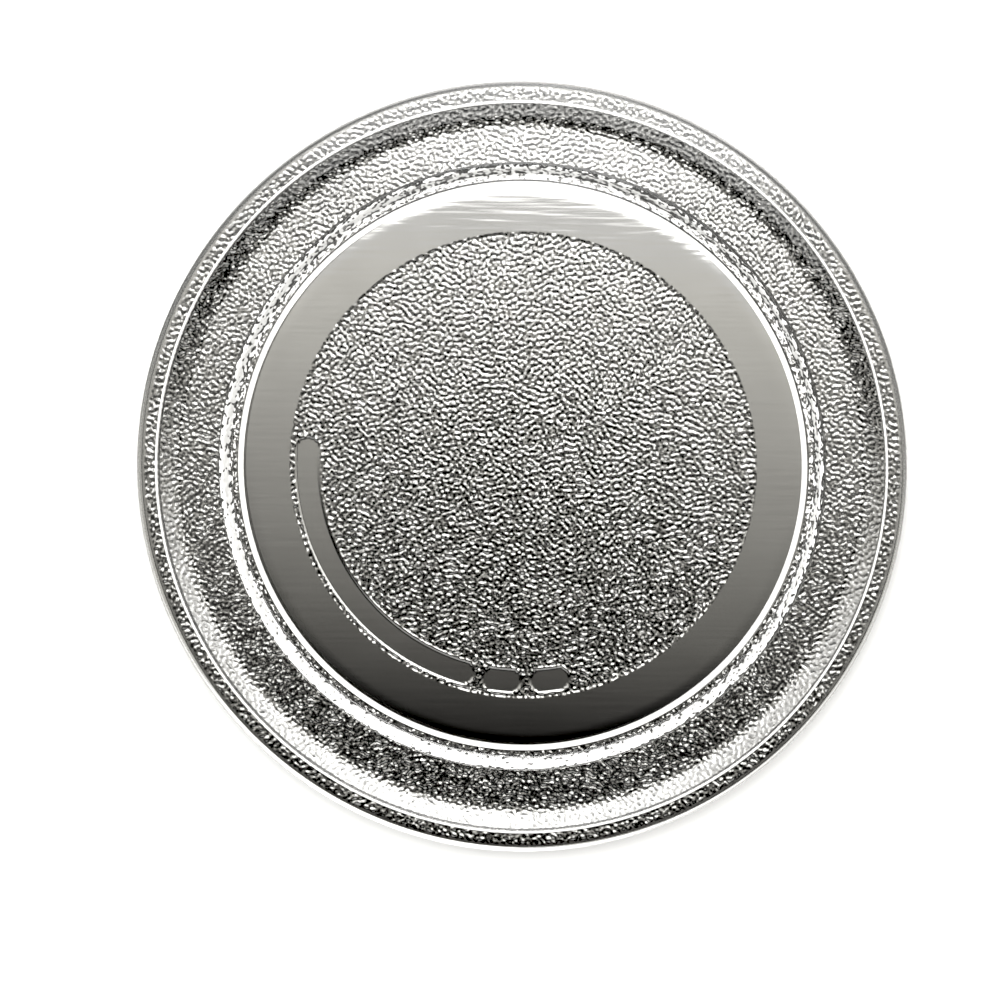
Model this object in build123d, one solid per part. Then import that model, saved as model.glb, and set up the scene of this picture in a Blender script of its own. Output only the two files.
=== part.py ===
from build123d import *
import math
import os

# Turntable plate of pressed clear glass for a microwave oven: one solid.
# Millimetres. Origin: centre of the underside, in the plane that the plate
# rests on. +Z is up, out of the dish. The long smooth pad of the underside
# lies towards -X and -Y.

# ---- driving dimensions ----------------------------------------------------
PLATE_D = 245.0            # outside diameter of the rim
PLATE_H = 12.6             # rest plane to the top of the rim
FLOOR_TOP_Z = 5.2          # upper face of the flat well

# underside: pebbled disc (its crests at z = 0), smooth roller track, bead
DISC_R = 74.6              # edge of the pebbled disc
DISC_STEP_W = 0.25         # width of the edge of the disc
TRACK_Z = 0.06             # the smooth track stands back from the crests
BEAD_IN_R = 89.25          # bead round the track: foot, crest, crest, foot
BEAD_CREST_R = (89.8, 90.6)
BEAD_OUT_R = 91.15

# wall between the well and the flange
WELL_R = 93.4              # corner of floor and wall, upper face
WELL_FILLET = 1.2
WALL_TOP_R = 95.3          # corner of wall and flange, upper face
WALL_TOP_FILLET = 1.2
UNDER_FOOT_R = 94.5        # corner of track and wall, underside
UNDER_WALL_R = 96.3        # corner of wall and flange, underside
UNDER_FILLET = 0.9

# level flange, which curls up towards the rim
FLANGE_Z = 10.6            # upper face
UNDER_FLANGE_Z = 6.5
CURL_R = 110.3             # corner of flange and slope, upper face
UNDER_CURL_R = 110.5       # the same, underside
CURL_RADIUS = 22.0

# rim
SLOPE_OUT_R, SLOPE_OUT_Z = 115.65, 11.95
UNDER_SLOPE_R, UNDER_SLOPE_Z = 115.75, 7.85
CREASE_R = 116.2           # inner edge of the rim's top
UNDER_CREASE_R, UNDER_CREASE_Z = 116.35, 8.4
UNDER_RIM_Z = 8.6          # underside of the rim at its outer edge
RIM_TOP_ROUND = 1.5        # rounding of the rim's outer edges
RIM_FOOT_ROUND = 0.8

# smooth pads in the pebbled disc, each with a shallow groove round it
# (angles counter-clockwise from +X)
PAD_IN_R = 65.3
PAD_OUT_R = 72.5
PAD_CORNER = 3.4
GROOVE_W = 0.9
LONG_PAD = (172.8, 256.8)
SHORT_PADS = (264.3, 277.2)
SHORT_PAD_HALF = 5.2

OUT_R = PLATE_D / 2.0


# ---- section ---------------------------------------------------------------
# Corner points (radius, height) and the rounding of each corner, from the
# axis outwards along the underside, round the rim and back along the top.
SECTION = [
    ((0.0, 0.0), 0.0),
    ((DISC_R, 0.0), 0.02),
    ((DISC_R + DISC_STEP_W, TRACK_Z), 0.02),
    ((BEAD_IN_R, TRACK_Z), 0.3),
    ((BEAD_CREST_R[0], 0.0), 0.35),
    ((BEAD_CREST_R[1], 0.0), 0.35),
    ((BEAD_OUT_R, TRACK_Z), 0.3),
    ((UNDER_FOOT_R, TRACK_Z), UNDER_FILLET),
    ((UNDER_WALL_R, UNDER_FLANGE_Z), UNDER_FILLET),
    ((UNDER_CURL_R, UNDER_FLANGE_Z + 0.05), CURL_RADIUS),
    ((UNDER_SLOPE_R, UNDER_SLOPE_Z), 0.5),
    ((UNDER_CREASE_R, UNDER_CREASE_Z), 0.6),
    ((OUT_R, UNDER_RIM_Z), RIM_FOOT_ROUND),
    ((OUT_R, PLATE_H), RIM_TOP_ROUND),
    ((CREASE_R, PLATE_H - 0.02), 0.4),
    ((SLOPE_OUT_R, SLOPE_OUT_Z), 0.4),
    ((CURL_R, FLANGE_Z + 0.02), CURL_RADIUS),
    ((WALL_TOP_R, FLANGE_Z), WALL_TOP_FILLET),
    ((WELL_R, FLOOR_TOP_Z), WELL_FILLET),
    ((0.0, FLOOR_TOP_Z), 0.0),
]


def section_face():
    pts = [p for p, _ in SECTION]
    radii = [r for _, r in SECTION]
    with BuildSketch(Plane.XZ) as sk:
        with BuildLine():
            FilletPolyline(*pts, radius=radii[1:-1], close=False)
            Line(pts[-1], pts[0])
        make_face()
    return sk.sketch


def pad_outline(a0, a1, grow):
    """Curved pad with rounded corners between two angles, in degrees,
    grown outwards all round."""
    mid = 0.5 * (a0 + a1)
    mid_r = 0.5 * (PAD_IN_R + PAD_OUT_R)
    half = 0.5 * (a1 - a0) + math.degrees(grow / mid_r)
    r0, r1 = PAD_IN_R - grow, PAD_OUT_R + grow

    def at(r, a):
        return (r * math.cos(math.radians(a)), r * math.sin(math.radians(a)))

    with BuildSketch() as sk:
        with BuildLine():
            ThreePointArc(at(r1, mid - half), at(r1, mid), at(r1, mid + half))
            Line(at(r1, mid + half), at(r0, mid + half))
            ThreePointArc(at(r0, mid + half), at(r0, mid), at(r0, mid - half))
            Line(at(r0, mid - half), at(r1, mid - half))
        make_face()
        fillet(sk.vertices(), PAD_CORNER)
    return sk.sketch


plate = revolve(section_face(), Axis.Z, 360.0)

pads = [LONG_PAD] + [(a - SHORT_PAD_HALF, a + SHORT_PAD_HALF) for a in SHORT_PADS]
for a0, a1 in pads:
    outer = extrude(pad_outline(a0, a1, GROOVE_W), amount=TRACK_Z)
    inner = extrude(pad_outline(a0, a1, 0.0), amount=TRACK_Z)
    plate = plate - (outer - inner)

solid = plate.solids()[0]
os.makedirs("parts", exist_ok=True)
export_step(solid, "parts/turntable_plate.step")
print("turntable_plate solids", len(plate.solids()), "volume mm3", round(solid.volume, 1), "valid", solid.is_valid)
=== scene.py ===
import math

import bpy
import numpy as np
from mathutils import Matrix, Vector


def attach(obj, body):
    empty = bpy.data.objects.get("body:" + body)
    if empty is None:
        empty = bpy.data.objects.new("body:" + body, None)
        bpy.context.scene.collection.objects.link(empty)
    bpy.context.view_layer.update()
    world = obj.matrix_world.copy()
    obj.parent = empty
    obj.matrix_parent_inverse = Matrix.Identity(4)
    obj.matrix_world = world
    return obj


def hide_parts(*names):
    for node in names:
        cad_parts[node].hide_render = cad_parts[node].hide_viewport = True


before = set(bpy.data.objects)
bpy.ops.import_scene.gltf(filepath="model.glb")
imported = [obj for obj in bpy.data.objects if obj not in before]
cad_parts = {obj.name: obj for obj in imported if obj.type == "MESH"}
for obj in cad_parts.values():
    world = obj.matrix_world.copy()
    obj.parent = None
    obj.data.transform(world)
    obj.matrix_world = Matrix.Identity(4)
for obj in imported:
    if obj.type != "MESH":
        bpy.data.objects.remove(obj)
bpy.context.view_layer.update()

MM = 0.001

# ---------------------------------------------------------------------------
# Section of the plate, as in the solid (millimetres): corner and rounding
# ---------------------------------------------------------------------------
OUT_R = 122.5
PLATE_H = 12.6
FLOOR_Z = 5.2               # top of the flat middle
DISC_R = 74.6               # pebbled middle of the underside
TRACK_Z = 0.06              # smooth roller track, a little above the crests of the disc
LIP_R = 120.7                # smooth lip outside the rim

SECTION = [
    ((0.0, TRACK_Z), 0.0),
    ((DISC_R + 0.15, TRACK_Z), 0.0),
    ((86.6, TRACK_Z), 330.0),
    ((89.25, 0.04), 0.3),
    ((89.8, 0.0), 0.35),
    ((90.6, 0.0), 0.35),
    ((91.15, TRACK_Z), 0.3),
    ((94.5, TRACK_Z), 0.9),
    ((96.3, 6.5), 0.9),
    ((110.5, 6.55), 22.0),
    ((115.75, 7.85), 0.5),
    ((116.35, 8.4), 0.6),
    ((OUT_R, 8.6), 0.8),
    ((OUT_R, PLATE_H), 1.5),
    ((116.2, 12.58), 0.4),
    ((115.65, 11.95), 0.4),
    ((110.3, 10.62), 22.0),
    ((95.3, 10.6), 1.2),
    ((93.4, FLOOR_Z), 1.2),
    ((0.0, FLOOR_Z), 0.0),
]

# smooth pads in the pebbled disc
PAD_IN_R, PAD_OUT_R, PAD_CORNER = 65.3, 72.5, 3.4
PADS = [(172.8, 256.8), (264.3 - 5.2, 264.3 + 5.2), (277.2 - 5.2, 277.2 + 5.2)]

PITCH = 0.775               # spacing of the pebble mesh
RELIEF = 0.08                # height of the pebbles
FLANGE_RELIEF = 0.075
SHAPE = 0.85                # how flat the tops and hollows are
PEBBLE_IN_R = 91.15         # pebbled wall, flange and rim start here
TOP_SEGMENTS = 180

# bands of the top, by radius
RING = (89.0, 90.75)        # over the bead round the track; hazed white there, a painted highlight
FOOT = (90.75, 91.3)        # foot of the step
FLECKS = (91.3, 93.2)       # where its pebbles begin; hazed flecks there are painted highlights
UNDER_STEP = (94.6, 96.2)   # outer face of the step, on the underside
SHOULDER = (93.2, 96.2)     # step up to the flange; hazed white there as a painted highlight, with dark dashes of painted shade
CREASE = (115.85, 116.55)   # inner edge of the rim; hazed white there, a painted highlight
TOP_MARKS = (*RING, FOOT[1], *SHOULDER, *CREASE, LIP_R)
CLEAR, UNDER, EDGES, BEAD_HIGHLIGHT, POLISH, STEP_PAINTED_LIGHT, CREASE_HIGHLIGHT, LIP, FLECK_HIGHLIGHT, BACK = range(10)


def trace_section():
    """Lines and arcs of the rounded section."""
    out = []
    pts = [np.array(p, float) for p, _ in SECTION]
    rad = [r for _, r in SECTION]
    cur = pts[0]
    for i in range(1, len(pts) - 1):
        a, b, c = pts[i - 1], pts[i], pts[i + 1]
        if rad[i] == 0:
            out.append(("line", (cur, b)))
            cur = b
            continue
        u = (a - b) / np.linalg.norm(a - b)
        v = (c - b) / np.linalg.norm(c - b)
        ang = math.acos(float(np.clip(u @ v, -1, 1)))
        t = rad[i] / math.tan(ang / 2)
        p0, p1 = b + u * t, b + v * t
        bis = (u + v) / np.linalg.norm(u + v)
        cen = b + bis * rad[i] / math.sin(ang / 2)
        out.append(("line", (cur, p0)))
        a0 = math.atan2(*(p0 - cen)[::-1])
        a1 = math.atan2(*(p1 - cen)[::-1])
        d = (a1 - a0 + math.pi) % (2 * math.pi) - math.pi
        out.append(("arc", (cen, rad[i], a0, d)))
        cur = p1
    out.append(("line", (cur, pts[-1])))
    return out


def section_points():
    """Rings of the plate from the middle of the underside round to the middle of the top:
    point and normal as (r, z), and whether it is on the underside."""
    rings = []
    for kind, data in trace_section():
        if kind == "line":
            p0, p1 = data
            d = p1 - p0
            length = float(np.linalg.norm(d))
            if length < 1e-6:
                continue
            n = np.array([d[1], -d[0]]) / length
            at = lambda f, p0=p0, d=d: p0 + d * f
            nor = lambda f, n=n: n
        else:
            cen, r, a0, da = data
            length = abs(da) * r
            sgn = 1.0 if da > 0 else -1.0
            at = lambda f, cen=cen, r=r, a0=a0, da=da: cen + r * np.array([math.cos(a0 + da * f), math.sin(a0 + da * f)])
            nor = lambda f, a0=a0, da=da, s=sgn: s * np.array([math.cos(a0 + da * f), math.sin(a0 + da * f)])
        under = len(rings) == 0 or (rings[-1]["under"] and at(0.5)[0] < OUT_R - 0.3)
        mid_r = at(0.5)[0]
        if under and (mid_r < DISC_R - 1 or mid_r > DISC_R + 2.0):
            track = kind == "line" and DISC_R < at(0.0)[0] and at(1.0)[0] < 92 and at(1.0)[1] > 0.035
            n_steps = max(2, int(length / 2.0)) if track else max(1, int(round(length / (PITCH * 0.866))))
        elif kind == "arc":
            n_steps = max(3, int(math.ceil(abs(data[3]) / math.radians(10.0))))
        else:
            n_steps = max(1, int(math.ceil(length / 3.0))) if length < 40 else 4
        steps, marks = [j / n_steps for j in range(n_steps)], []
        for mark in () if under else TOP_MARKS:
            lo, hi = 0.0, 1.0
            if (at(0.0)[0] - mark) * (at(1.0)[0] - mark) >= 0:
                continue
            rising = at(1.0)[0] > at(0.0)[0]
            for _ in range(40):
                f = 0.5 * (lo + hi)
                lo, hi = (f, hi) if (at(f)[0] < mark) == rising else (lo, f)
            steps = [g for g in steps if g == 0.0 or abs(g - f) > 0.3 / n_steps]
            marks.append(f)
        for f in sorted(steps + marks):
            rings.append({"p": at(f), "n": nor(f), "under": under})
    return rings


def ring_count(ring):
    r = ring["p"][0]
    if r < 0.05:
        return 1
    if ring["under"] and (r <= DISC_R + 0.2 or r >= PEBBLE_IN_R - 0.6) and r < LIP_R + 0.4:
        return max(6, int(round(2 * math.pi * r / PITCH)))
    return TOP_SEGMENTS


def band(r, under):
    """Material of a band of the surface."""
    if under:
        return BACK if UNDER_STEP[0] < r < UNDER_STEP[1] else UNDER
    for (r0, r1), slot in ((RING, BEAD_HIGHLIGHT), (FOOT, POLISH), (FLECKS, FLECK_HIGHLIGHT), (SHOULDER, STEP_PAINTED_LIGHT), (CREASE, CREASE_HIGHLIGHT), ((CREASE[1], LIP_R), POLISH), ((LIP_R, OUT_R + 1), LIP)):
        if r0 < r < r1:
            return slot
    return EDGES if r > SHOULDER[1] else CLEAR


def smooth01(x):
    x = np.clip(x, 0.0, 1.0)
    return x * x * (3 - 2 * x)


rng = np.random.default_rng(20411)
WAVES = 260


def planar_waves(lam_x, lam_y, spread):
    """Band of random plane waves over the plan."""
    lam = rng.normal(1.0, spread, WAVES).clip(0.7, 1.42)
    ang = rng.uniform(0, math.pi, WAVES)
    ph = rng.uniform(0, 2 * math.pi, WAVES)
    return 2 * math.pi * np.cos(ang) / (lam_x * lam), 2 * math.pi * np.sin(ang) / (lam_y * lam), ph


def polar_waves(r_ref, lam_t, lam_s, spread):
    """The same kind of band round the plate, closed after one turn."""
    lam = rng.normal(1.0, spread, WAVES).clip(0.7, 1.42)
    ang = rng.uniform(0, math.pi, WAVES)
    ph = rng.uniform(0, 2 * math.pi, WAVES)
    return 2 * math.pi * np.cos(ang) / (lam_s * lam), np.round(2 * math.pi * r_ref * np.sin(ang) / (lam_t * lam)), ph


def field(waves, u, v):
    """Sum of the waves in units of its own spread."""
    h = np.zeros_like(u)
    for ku, kv, p in zip(*waves):
        h += np.cos(ku * u + kv * v + p)
    return h / math.sqrt(WAVES / 2)


DISC_WAVES = planar_waves(1.82, 1.82, 0.11)
FLANGE_WAVES = polar_waves(104.0, 1.72, 1.72, 0.11)


def pad_distance(x, y):
    """Signed distance (about) to the nearest smooth pad: negative inside."""
    r = np.hypot(x, y)
    th = np.degrees(np.arctan2(y, x)) % 360.0
    rm, hw = 0.5 * (PAD_IN_R + PAD_OUT_R), 0.5 * (PAD_OUT_R - PAD_IN_R)
    best = np.full_like(r, 1e3)
    for a0, a1 in PADS:
        mid, half = 0.5 * (a0 + a1), 0.5 * (a1 - a0)
        da = (th - mid + 180) % 360 - 180
        qx = np.abs(np.radians(da)) * rm - (math.radians(half) * rm - PAD_CORNER)
        qy = np.abs(r - rm) - (hw - PAD_CORNER)
        d = np.hypot(np.maximum(qx, 0), np.maximum(qy, 0)) + np.minimum(np.maximum(qx, qy), 0) - PAD_CORNER
        best = np.minimum(best, d)
    return best


def pebble_depth(r, th, s):
    """Depth of the pebbled relief into the underside, how deep that is between a crest
    and a trough (the share that darkens the underside's colour: painted shade), and where it is pebbled."""
    depth = np.zeros_like(r)
    low = np.zeros_like(r)
    mask = np.zeros_like(r)

    # middle disc: pebbles that stand out from the level of the track
    disc = r < DISC_R
    x, y = r[disc] * np.cos(th[disc]), r[disc] * np.sin(th[disc])
    high = 0.5 * (1.0 + np.tanh(SHAPE * field(DISC_WAVES, x, y)))
    pd = pad_distance(x, y)
    keep = smooth01((pd - 0.4) / 0.7) * smooth01((DISC_R - r[disc]) / 0.9)
    plateau = smooth01((0.55 - pd) / 0.8)
    depth[disc] = -RELIEF * np.maximum(high * keep, plateau)
    low[disc] = 1.0 - high
    mask[disc] = keep

    # step, flange and rim: hollows pressed into them
    outer = (r > PEBBLE_IN_R) & (r < LIP_R - 0.1)
    h = field(FLANGE_WAVES, s[outer], th[outer])
    edge = smooth01((r[outer] - PEBBLE_IN_R) / 0.5) * smooth01((LIP_R - 0.2 - r[outer]) / 0.8)
    low[outer] = 0.5 * (1.0 - np.tanh(SHAPE * h))
    depth[outer] = FLANGE_RELIEF * low[outer] * edge
    mask[outer] = edge
    return depth, low, mask


def build_plate():
    rings = section_points()
    counts = [ring_count(r) for r in rings]
    arc = 0.0
    prev = rings[0]["p"]
    per_ring = []
    for i, (ring, n) in enumerate(zip(rings, counts)):
        arc += float(np.linalg.norm(ring["p"] - prev))
        prev = ring["p"]
        off = 0.0 if i % 2 == 0 else -0.5
        th = (np.arange(n) + off) * 2 * math.pi / n
        per_ring.append((th, np.full(n, ring["p"][0]), np.full(n, ring["p"][1]), np.full(n, ring["n"][0]), np.full(n, ring["n"][1]), np.full(n, arc), np.full(n, ring["under"])))
    th, r, z, nr, nz, s, under = (np.concatenate(c) for c in zip(*per_ring))
    u = under.astype(bool)

    depth = np.zeros_like(r)
    mask = np.zeros_like(r)
    slope_s = np.zeros_like(r)
    slope_t = np.zeros_like(r)
    low = np.zeros_like(r)
    depth[u], low[u], mask[u] = pebble_depth(r[u], th[u], s[u])
    e = 0.05
    tr = -nz[u]
    slope_s[u] = (pebble_depth(r[u] + e * tr, th[u], s[u] + e)[0] - pebble_depth(np.abs(r[u] - e * tr), th[u], s[u] - e)[0]) / (2 * e)
    et = e / np.maximum(r[u], 0.2)
    slope_t[u] = (pebble_depth(r[u], th[u] + et, s[u])[0] - pebble_depth(r[u], th[u] - et, s[u])[0]) / (2 * e)
    flat = r < 0.2
    slope_s[flat] = 0.0
    slope_t[flat] = 0.0

    rr = r - nr * depth
    zz = z - nz * depth
    verts = np.stack([rr * np.cos(th), rr * np.sin(th), zz], 1) * MM
    # true normals of the relief, finer than the mesh itself would give
    n_r = nr - slope_s * nz
    n_z = nz + slope_s * nr
    normals = np.stack([n_r * np.cos(th) - slope_t * np.sin(th), n_r * np.sin(th) + slope_t * np.cos(th), n_z], 1)
    normals /= np.linalg.norm(normals, axis=1)[:, None]

    # faces between neighbouring rings of different counts
    start = np.concatenate([[0], np.cumsum(counts)])
    tris, slots = [], []
    for i in range(len(rings) - 1):
        na, nb = counts[i], counts[i + 1]
        ia, ib = start[i], start[i + 1]
        mid_r = 0.5 * (rings[i]["p"][0] + rings[i + 1]["p"][0])
        slots.append(np.full(nb if na == 1 else na + nb, band(mid_r, rings[i]["under"])))
        if na == 1:
            j = np.arange(nb)
            tris.append(np.stack([np.full(nb, ia), ib + (j + 1) % nb, ib + j], 1))
            continue
        oa = 0.0 if i % 2 == 0 else -0.5
        ob = 0.0 if (i + 1) % 2 == 0 else -0.5
        ka = (np.arange(na) + 0.5 + oa) / na
        kb = (np.arange(nb) + 0.5 + ob) / nb
        ca = np.searchsorted(kb, ka, side="left")
        cb = np.searchsorted(ka, kb, side="right")
        ja, jb = np.arange(na), np.arange(nb)
        tris.append(np.stack([ia + ja, ia + (ja + 1) % na, ib + ca % nb], 1))
        tris.append(np.stack([ib + (jb + 1) % nb, ib + jb, ia + cb % na], 1))
    # middle of the top
    last = len(verts)
    verts = np.vstack([verts, [[0.0, 0.0, FLOOR_Z * MM]]])
    normals = np.vstack([normals, [[0.0, 0.0, 1.0]]])
    low = np.append(low, 0.0)
    mask = np.append(mask, 0.0)
    n, i0 = counts[-1], start[-2]
    j = np.arange(n)
    tris.append(np.stack([i0 + j, i0 + (j + 1) % n, np.full(n, last)], 1))
    slots.append(np.full(n, CLEAR))
    tris = np.concatenate(tris)
    slots = np.concatenate(slots)

    me = bpy.data.meshes.new("turntable_plate_glass")
    me.vertices.add(len(verts))
    me.vertices.foreach_set("co", verts.astype(np.float32).ravel())
    me.loops.add(len(tris) * 3)
    me.loops.foreach_set("vertex_index", tris.astype(np.int32).ravel())
    me.polygons.add(len(tris))
    me.polygons.foreach_set("loop_start", np.arange(0, len(tris) * 3, 3, dtype=np.int32))
    me.polygons.foreach_set("use_smooth", np.ones(len(tris), dtype=bool))
    me.polygons.foreach_set("material_index", slots.astype(np.int32))
    me.update(calc_edges=True)
    me.validate()
    me.normals_split_custom_set_from_vertices(normals.tolist())
    # how far each point lies in a hollow; the underside darkens with it as painted shade
    at = me.attributes.new("hollow_shade", "FLOAT", "POINT")
    at.data.foreach_set("value", low.astype(np.float32))
    at = me.attributes.new("pebbled", "FLOAT", "POINT")
    at.data.foreach_set("value", mask.astype(np.float32))
    ob = bpy.data.objects.new("plate_glass", me)
    bpy.context.scene.collection.objects.link(ob)
    print("plate_glass triangles", len(tris), "vertices", len(verts))
    return ob


# ---------------------------------------------------------------------------
# Materials
# ---------------------------------------------------------------------------
def glass_nodes(name, sheen, clear):
    """Clear pressed glass with faint uneven polish: sheen is its share of surface
    reflection, clear the share of it that is not hazed."""
    m = bpy.data.materials.new(name)
    m.use_nodes = True
    nt = m.node_tree
    nt.nodes.clear()
    out = nt.nodes.new("ShaderNodeOutputMaterial")
    bsdf = nt.nodes.new("ShaderNodeBsdfPrincipled")
    bsdf.inputs["Transmission Weight"].default_value = clear
    bsdf.inputs["IOR"].default_value = 1.52
    bsdf.inputs["Specular Tint"].default_value = (sheen, sheen, sheen, 1)
    nt.links.new(bsdf.outputs["BSDF"], out.inputs["Surface"])
    tex = nt.nodes.new("ShaderNodeTexCoord")
    noise = nt.nodes.new("ShaderNodeTexNoise")
    noise.inputs["Scale"].default_value = 60.0
    noise.inputs["Detail"].default_value = 3.0
    nt.links.new(tex.outputs["Object"], noise.inputs["Vector"])
    rough = nt.nodes.new("ShaderNodeMapRange")
    rough.inputs["To Min"].default_value = 0.005
    rough.inputs["To Max"].default_value = 0.035
    nt.links.new(noise.outputs["Fac"], rough.inputs["Value"])
    nt.links.new(rough.outputs["Result"], bsdf.inputs["Roughness"])
    return m, nt, bsdf, tex, noise


def ramp_of(nt, *marks):
    ramp = nt.nodes.new("ShaderNodeValToRGB")
    el = ramp.color_ramp.elements
    while len(el) < len(marks):
        el.new(0.5)
    for k, (place, rgb) in enumerate(marks):
        el[k].position = place
        el[k].color = (*rgb, 1)
    return ramp


def smooth_glass(name, dark, light, sheen=1.0, clear=1.0):
    """Smooth face: its tint drifts slowly between two near values."""
    m, nt, bsdf, tex, noise = glass_nodes(name, sheen, clear)
    ramp = ramp_of(nt, (0.35, dark), (0.65, light))
    nt.links.new(noise.outputs["Fac"], ramp.inputs["Fac"])
    nt.links.new(ramp.outputs["Color"], bsdf.inputs["Base Color"])
    return m


def pebbled_glass(name, crest, hollow_shade, flat):
    """Pebbled underside with a mirror-like back: tints of crests and smooth ground, hollows darkened as painted
    shade, and a finer skin on the pebbles.
    """
    m, nt, bsdf, tex, noise = glass_nodes(name, 1.0, 0.0)
    bsdf.inputs["Metallic"].default_value = 1.0
    deep = nt.nodes.new("ShaderNodeAttribute")
    deep.attribute_name = "hollow_shade"
    peb = nt.nodes.new("ShaderNodeAttribute")
    peb.attribute_name = "pebbled"
    # hollows darker than crests: painted shade
    ramp = ramp_of(nt, (0.15, crest), (0.9, hollow_shade))
    nt.links.new(deep.outputs["Fac"], ramp.inputs["Fac"])
    mix = nt.nodes.new("ShaderNodeMix")
    mix.data_type = "RGBA"
    mix.inputs["A"].default_value = (*flat, 1)
    nt.links.new(peb.outputs["Fac"], mix.inputs["Factor"])
    nt.links.new(ramp.outputs["Color"], mix.inputs["B"])
    nt.links.new(mix.outputs["Result"], bsdf.inputs["Base Color"])
    skin = nt.nodes.new("ShaderNodeTexNoise")
    skin.inputs["Scale"].default_value = 900.0
    skin.inputs["Detail"].default_value = 0.0
    nt.links.new(tex.outputs["Object"], skin.inputs["Vector"])
    bump = nt.nodes.new("ShaderNodeBump")
    bump.inputs["Distance"].default_value = 0.000055
    nt.links.new(peb.outputs["Fac"], bump.inputs["Strength"])
    nt.links.new(skin.outputs["Fac"], bump.inputs["Height"])
    # very shallow straight marks on the smooth ground
    stretch = nt.nodes.new("ShaderNodeMapping")
    stretch.inputs["Scale"].default_value = (45.0, 620.0, 1.0)
    nt.links.new(tex.outputs["Object"], stretch.inputs["Vector"])
    marks = nt.nodes.new("ShaderNodeTexNoise")
    marks.inputs["Scale"].default_value = 1.0
    marks.inputs["Detail"].default_value = 1.0
    nt.links.new(stretch.outputs["Vector"], marks.inputs["Vector"])
    drawn = nt.nodes.new("ShaderNodeBump")
    drawn.inputs["Distance"].default_value = 0.0000065
    # the marks are deeper towards +Y
    where = nt.nodes.new("ShaderNodeSeparateXYZ")
    nt.links.new(tex.outputs["Object"], where.inputs["Vector"])
    depth = nt.nodes.new("ShaderNodeMapRange")
    depth.inputs["From Min"].default_value = -0.085
    depth.inputs["From Max"].default_value = 0.085
    depth.inputs["To Min"].default_value = 0.2
    nt.links.new(where.outputs["Y"], depth.inputs["Value"])
    nt.links.new(depth.outputs["Result"], drawn.inputs["Strength"])
    nt.links.new(marks.outputs["Fac"], drawn.inputs["Height"])
    nt.links.new(drawn.outputs["Normal"], bump.inputs["Normal"])
    nt.links.new(bump.outputs["Normal"], bsdf.inputs["Normal"])
    return m


def round_grain(nt, tex, painted_light_lean):
    """Noise that runs round the plate, the distance from its axis, and how far a place lies
    towards the side that painted_light_lean points to, where the painted light and shade crowd."""
    flat = nt.nodes.new("ShaderNodeVectorMath")
    flat.operation = "MULTIPLY"
    flat.inputs[1].default_value = (1.0, 1.0, 0.0)
    nt.links.new(tex.outputs["Object"], flat.inputs[0])
    out_r = nt.nodes.new("ShaderNodeVectorMath")
    out_r.operation = "LENGTH"
    nt.links.new(flat.outputs["Vector"], out_r.inputs[0])
    way = nt.nodes.new("ShaderNodeVectorMath")
    way.operation = "NORMALIZE"
    nt.links.new(flat.outputs["Vector"], way.inputs[0])
    turn = nt.nodes.new("ShaderNodeVectorMath")
    turn.operation = "SCALE"
    turn.inputs["Scale"].default_value = 0.095 * 680.0
    nt.links.new(way.outputs["Vector"], turn.inputs[0])
    lift = nt.nodes.new("ShaderNodeMath")
    lift.operation = "MULTIPLY"
    lift.inputs[1].default_value = 1400.0
    nt.links.new(out_r.outputs["Value"], lift.inputs[0])
    stack = nt.nodes.new("ShaderNodeCombineXYZ")
    nt.links.new(lift.outputs["Value"], stack.inputs["Z"])
    place = nt.nodes.new("ShaderNodeVectorMath")
    nt.links.new(turn.outputs["Vector"], place.inputs[0])
    nt.links.new(stack.outputs["Vector"], place.inputs[1])
    grain = nt.nodes.new("ShaderNodeTexNoise")
    grain.inputs["Scale"].default_value = 1.0
    grain.inputs["Detail"].default_value = 0.5
    nt.links.new(place.outputs["Vector"], grain.inputs["Vector"])
    side = nt.nodes.new("ShaderNodeVectorMath")
    side.operation = "DOT_PRODUCT"
    side.inputs[1].default_value = (*painted_light_lean, 0.0)
    nt.links.new(way.outputs["Vector"], side.inputs[0])
    return grain, out_r, side


def highlight_flecked_glass(name, dark, light, painted_light_lean):
    """Smooth face with hazed white flecks, painted highlights, more of them towards the side that painted_light_lean
    points to.
    """
    m, nt, bsdf, tex, noise = glass_nodes(name, 1.0, 1.0)
    ramp = ramp_of(nt, (0.35, dark), (0.65, light))
    nt.links.new(noise.outputs["Fac"], ramp.inputs["Fac"])
    nt.links.new(ramp.outputs["Color"], bsdf.inputs["Base Color"])
    grain, out_r, side = round_grain(nt, tex, painted_light_lean)
    both = nt.nodes.new("ShaderNodeMath")
    nt.links.new(grain.outputs["Fac"], both.inputs[0])
    nt.links.new(side.outputs["Value"], both.inputs[1])
    # hazed white flecks, more towards painted_light_lean: painted highlight
    highlight_haze = nt.nodes.new("ShaderNodeMapRange")
    highlight_haze.inputs["From Min"].default_value = 0.55
    highlight_haze.inputs["From Max"].default_value = 0.60
    highlight_haze.inputs["To Min"].default_value = 1.0
    highlight_haze.inputs["To Max"].default_value = 0.35
    nt.links.new(both.outputs["Value"], highlight_haze.inputs["Value"])
    nt.links.new(highlight_haze.outputs["Result"], bsdf.inputs["Transmission Weight"])
    return m


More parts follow.
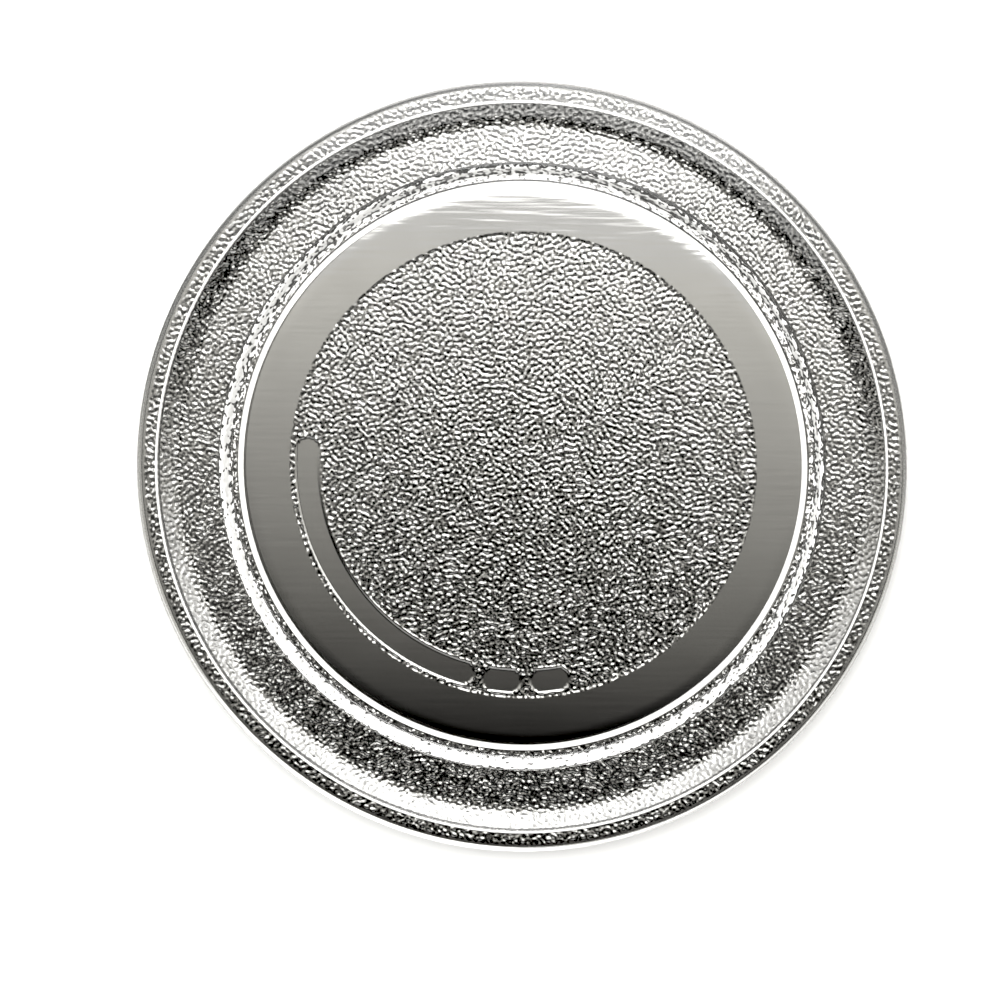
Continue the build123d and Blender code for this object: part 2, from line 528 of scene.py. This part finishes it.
def grained_painted_light_glass(name, dark, light, sheen, clear, mid_r, half_w, painted_light_lean):
    """Hazed white face between pebbled ones, a painted highlight, with painted shade in dark dashes drawn out
    round the plate: they crowd towards both edges of the band, and towards the side that painted_light_lean points
    to."""
    m, nt, bsdf, tex, noise = glass_nodes(name, sheen, clear)
    grain, out_r, side = round_grain(nt, tex, painted_light_lean)
    off = nt.nodes.new("ShaderNodeMath")
    off.operation = "SUBTRACT"
    off.inputs[1].default_value = mid_r
    nt.links.new(out_r.outputs["Value"], off.inputs[0])
    away = nt.nodes.new("ShaderNodeMath")
    away.operation = "ABSOLUTE"
    nt.links.new(off.outputs["Value"], away.inputs[0])
    # darker towards both edges of the band: painted shade
    edge = nt.nodes.new("ShaderNodeMapRange")
    edge.inputs["From Min"].default_value = 0.45 * half_w
    edge.inputs["From Max"].default_value = half_w
    edge.inputs["To Max"].default_value = 0.17
    nt.links.new(away.outputs["Value"], edge.inputs["Value"])
    rest = nt.nodes.new("ShaderNodeMath")
    rest.operation = "SUBTRACT"
    nt.links.new(grain.outputs["Fac"], rest.inputs[0])
    nt.links.new(side.outputs["Value"], rest.inputs[1])
    left = nt.nodes.new("ShaderNodeMath")
    left.operation = "SUBTRACT"
    nt.links.new(rest.outputs["Value"], left.inputs[0])
    nt.links.new(edge.outputs["Result"], left.inputs[1])
    # dark dashes: painted shade; pale hazed ground: painted highlight
    ramp = ramp_of(nt, (0.35, dark), (0.40, light))
    nt.links.new(left.outputs["Value"], ramp.inputs["Fac"])
    nt.links.new(ramp.outputs["Color"], bsdf.inputs["Base Color"])
    bump = nt.nodes.new("ShaderNodeBump")
    bump.inputs["Distance"].default_value = 0.0006
    nt.links.new(grain.outputs["Fac"], bump.inputs["Height"])
    nt.links.new(bump.outputs["Normal"], bsdf.inputs["Normal"])
    return m


def floor_material():
    m = bpy.data.materials.new("floor_paper")
    m.use_nodes = True
    nt = m.node_tree
    bsdf = nt.nodes["Principled BSDF"]
    bsdf.inputs["Roughness"].default_value = 0.9
    bsdf.inputs["Specular IOR Level"].default_value = 0.1
    tex = nt.nodes.new("ShaderNodeTexCoord")
    noise = nt.nodes.new("ShaderNodeTexNoise")
    noise.inputs["Scale"].default_value = 3.0
    noise.inputs["Detail"].default_value = 2.0
    nt.links.new(tex.outputs["Object"], noise.inputs["Vector"])
    ramp = ramp_of(nt, (0.0, (0.78, 0.78, 0.775)), (1.0, (0.81, 0.81, 0.805)))
    nt.links.new(noise.outputs["Fac"], ramp.inputs["Fac"])
    nt.links.new(ramp.outputs["Color"], bsdf.inputs["Base Color"])
    return m


# ---------------------------------------------------------------------------
# Plate
# ---------------------------------------------------------------------------
plate = build_plate()
WHITE, PALE = (0.93, 0.925, 0.91), (0.88, 0.875, 0.86)
for mat in (
    smooth_glass("pressed_glass", PALE, WHITE, sheen=0.3),
    # underside: hollows tinted darker than crests, painted shade
    pebbled_glass("pressed_glass_underside", (0.315, 0.314, 0.31), (0.14, 0.139, 0.137), (0.274, 0.273, 0.269)),
    smooth_glass("pressed_glass_edges", PALE, WHITE, sheen=0.7, clear=0.995),
    # ring over the bead hazed white: painted highlight
    smooth_glass("pressed_glass_bead_highlight", PALE, WHITE, clear=0.45),
    smooth_glass("pressed_glass_polished", PALE, WHITE),
    # step: hazed white painted highlight with dark dashes of painted shade, more towards +Y
    grained_painted_light_glass("pressed_glass_step_painted_light", (0.06, 0.06, 0.058), (0.97, 0.965, 0.95), 0.6, 0.4,
                  0.5 * sum(SHOULDER) * MM, 0.5 * (SHOULDER[1] - SHOULDER[0]) * MM, (0.04, 0.10)),
    # crease hazed white: painted highlight line
    smooth_glass("pressed_glass_crease_highlight", PALE, WHITE, clear=0.45),
    smooth_glass("pressed_glass_lip", PALE, WHITE, clear=0.97),
    # foot: hazed flecks, more towards +Y, painted highlight
    highlight_flecked_glass("pressed_glass_foot_highlight", PALE, WHITE, (0.02, 0.14)),
    smooth_glass("pressed_glass_frosted", PALE, WHITE, clear=0.6),
):
    plate.data.materials.append(mat)
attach(plate, "root")
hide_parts("turntable_plate")

# ---------------------------------------------------------------------------
# Floor, light, camera
# ---------------------------------------------------------------------------
me = bpy.data.meshes.new("floor")
S = 2.4
me.from_pydata([(-S, -S, -0.00004), (S, -S, -0.00004), (S, S, -0.00004), (-S, S, -0.00004)], [], [(0, 1, 2, 3)])
floor = bpy.data.objects.new("floor", me)
bpy.context.scene.collection.objects.link(floor)
floor.data.materials.append(floor_material())


def area_light(name, loc, look, size_x, size_y, stops, fade=0.0, turn=0.0, spot=None):
    """Soft box: stops give its radiance along its own Y, as (metres from its middle, radiance,
    tint), it fades out over a share of its width at either side, and spot is a dark round
    place in it, as (x, y, radius)."""
    li = bpy.data.lights.new(name, "AREA")
    li.shape = "RECTANGLE"
    li.size, li.size_y = size_x, size_y
    top = max(l for _, l, _ in stops)
    li.energy = top * math.pi * size_x * size_y
    ob = bpy.data.objects.new(name, li)
    bpy.context.scene.collection.objects.link(ob)
    spin = Matrix.Rotation(math.radians(turn), 4, "Z")
    loc, look = spin @ Vector(loc), spin @ Vector(look)
    ob.location = loc
    ob.rotation_euler = (spin.to_3x3() @ (spin.inverted().to_3x3() @ (look - loc)).to_track_quat("-Z", "Y").to_matrix()).to_euler()
    ob.visible_camera = False
    li.use_nodes = True
    nt = li.node_tree
    em = nt.nodes["Emission"]
    geo = nt.nodes.new("ShaderNodeNewGeometry")
    sep = nt.nodes.new("ShaderNodeSeparateXYZ")
    nt.links.new(geo.outputs["Parametric"], sep.inputs["Vector"])
    along = ramp_of(nt, *((y / size_y + 0.5, tuple(l / top * c for c in tint)) for y, l, tint in stops))
    nt.links.new(sep.outputs["Y"], along.inputs["Fac"])
    nt.links.new(along.outputs["Color"], em.inputs["Color"])
    across = ((0.0, 0.0), (fade, 1.0), (1.0 - fade, 1.0), (1.0, 0.0)) if fade else ((0.0, 1.0), (1.0, 1.0))
    share = ramp_of(nt, *((place, (v, v, v)) for place, v in across))
    nt.links.new(sep.outputs["X"], share.inputs["Fac"])
    strength = share.outputs["Color"]
    if spot:
        plan = nt.nodes.new("ShaderNodeVectorMath")
        plan.operation = "MULTIPLY"
        plan.inputs[1].default_value = (size_x, size_y, 0.0)
        nt.links.new(geo.outputs["Parametric"], plan.inputs[0])
        away = nt.nodes.new("ShaderNodeVectorMath")
        away.operation = "DISTANCE"
        away.inputs[1].default_value = (spot[0] + size_x / 2, spot[1] + size_y / 2, 0.0)
        nt.links.new(plan.outputs["Vector"], away.inputs[0])
        dim = nt.nodes.new("ShaderNodeMapRange")
        dim.interpolation_type = "SMOOTHSTEP"
        dim.inputs["From Min"].default_value = 0.2 * spot[2]
        dim.inputs["From Max"].default_value = spot[2]
        dim.inputs["To Min"].default_value = 0.05
        nt.links.new(away.outputs["Value"], dim.inputs["Value"])
        both = nt.nodes.new("ShaderNodeMath")
        both.operation = "MULTIPLY"
        nt.links.new(strength, both.inputs[0])
        nt.links.new(dim.outputs["Result"], both.inputs[1])
        strength = both.outputs["Value"]
    nt.links.new(strength, em.inputs["Strength"])
    return ob


# long overhead soft box that brightens towards +Y, with a brighter strip below it, a softer
# one at either side, and a wide low one behind the plate
WHITE_LIGHT, WARM_LIGHT = (1.0, 1.0, 0.99), (1.0, 0.985, 0.935)
SKY_Y0, SKY_Y1 = -1.6, 2.5
SKY = [(-1.6, 1.0, WHITE_LIGHT), (-1.02, 2.6, WHITE_LIGHT), (-0.86, 3.6, WHITE_LIGHT), (-0.77, 2.4, WHITE_LIGHT), (-0.69, 1.1, WHITE_LIGHT),
       (-0.60, 1.1, WHITE_LIGHT), (-0.52, 1.5, WHITE_LIGHT), (-0.46, 0.9, WHITE_LIGHT), (-0.40, 0.0, WHITE_LIGHT), (-0.27, 0.0, WHITE_LIGHT), (-0.228, 0.14, WHITE_LIGHT),
       (-0.191, 0.41, WARM_LIGHT), (-0.103, 1.15, WARM_LIGHT), (-0.0144, 2.0, WARM_LIGHT), (0.020, 2.2, WHITE_LIGHT), (0.029, 2.6, WHITE_LIGHT),
       (0.10, 3.0, WHITE_LIGHT), (0.21, 2.0, WHITE_LIGHT), (0.31, 3.8, WHITE_LIGHT), (0.42, 1.5, WHITE_LIGHT), (0.56, 3.6, WHITE_LIGHT)]
SKY_X, SKY_MID = -0.08, (SKY_Y0 + SKY_Y1) / 2
area_light("overhead", (SKY_X, SKY_MID, 1.3), (SKY_X, SKY_MID, 0), 1.9, SKY_Y1 - SKY_Y0,
           [(y - SKY_MID, l, tint) for y, l, tint in SKY], fade=0.2, turn=-4.0, spot=(-0.08 - SKY_X, -0.11 - SKY_MID, 0.1))
STRIP_X, STRIP_Y0, STRIP_Y1 = -0.05, 0.02, 2.5
STRIP_MID = (STRIP_Y0 + STRIP_Y1) / 2
area_light("strip", (STRIP_X, STRIP_MID, 1.29), (STRIP_X, STRIP_MID, 0), 0.8, STRIP_Y1 - STRIP_Y0,
           [(y - STRIP_MID, l, WHITE_LIGHT) for y, l in ((0.0275, 0.0), (0.0345, 4.6))], fade=0.45, turn=-4.0)
WING = [(-2.5, 0.8), (-0.9, 0.9), (-0.08, 1.1), (0.9, 2.2), (1.5, 1.2), (2.5, 0.7)]
for name, x in (("wing_left", -2.6), ("wing_right", 2.45)):
    area_light(name, (x, 0, 1.32), (x, 0, 0), 4.0, 5.0, [(y, l, WARM_LIGHT) for y, l in WING], fade=0.1)
area_light("window", (0, 2.6, 0.75), (0, 0, 0.75), 6.4, 1.3, [(-0.65, 1.2, WHITE_LIGHT), (0.65, 1.2, WHITE_LIGHT)], fade=0.3)

# studio walls: pale low down, dark overhead
world = bpy.data.worlds.new("studio")
bpy.context.scene.world = world
world.use_nodes = True
wt = world.node_tree
way = wt.nodes.new("ShaderNodeTexCoord")
rise = wt.nodes.new("ShaderNodeSeparateXYZ")
wt.links.new(way.outputs["Generated"], rise.inputs["Vector"])
walls = ramp_of(wt, *((z, (l, l, l)) for z, l in ((0.0, 1.0), (0.5, 1.0), (0.66, 0.1), (0.8, 0.02), (0.95, 0.01))))
wt.links.new(rise.outputs["Z"], walls.inputs["Fac"])
wt.links.new(walls.outputs["Color"], wt.nodes["Background"].inputs["Color"])
wt.nodes["Background"].inputs["Strength"].default_value = 1.5

# camera: looks down on the plate, a few degrees off its axis
CAM_D = 2.6
PX = 1001.0
RIM_PX = 386.35
tilt = math.tan(math.radians(4.2))
cam_pos = Vector((tilt, tilt, 1.0)).normalized() * CAM_D
aim = Vector((-6.28 * MM, -10.34 * MM, PLATE_H * MM))
cam_data = bpy.data.cameras.new("camera")
cam = bpy.data.objects.new("camera", cam_data)
bpy.context.scene.collection.objects.link(cam)
cam.location = cam_pos
back = (cam_pos - aim).normalized()
right = Vector((0.0, 1.0, 0.0)).cross(back).normalized()
up = back.cross(right)
cam.rotation_euler = Matrix((right, up, back)).transposed().to_euler()
cam_data.sensor_fit = "HORIZONTAL"
cam_data.sensor_width = 36.0
depth_to_rim = (cam_pos - Vector((0, 0, PLATE_H * MM))).length
cam_data.lens = RIM_PX * depth_to_rim / (OUT_R * MM) / PX * 36.0
cam_data.clip_start, cam_data.clip_end = 0.01, 50.0
bpy.context.scene.camera = cam

bpy.context.scene.cycles.caustics_refractive = False
vs = bpy.context.scene.view_settings
vs.view_transform = "Standard"
vs.look = "None"
vs.exposure = 0.0
vs.gamma = 1.0
# a slightly raised black point, as in a contrasty product picture
vs.use_curve_mapping = True
vs.curve_mapping.black_level = (0.021, 0.021, 0.021)
vs.curve_mapping.update()

bpy.context.view_layer.update()
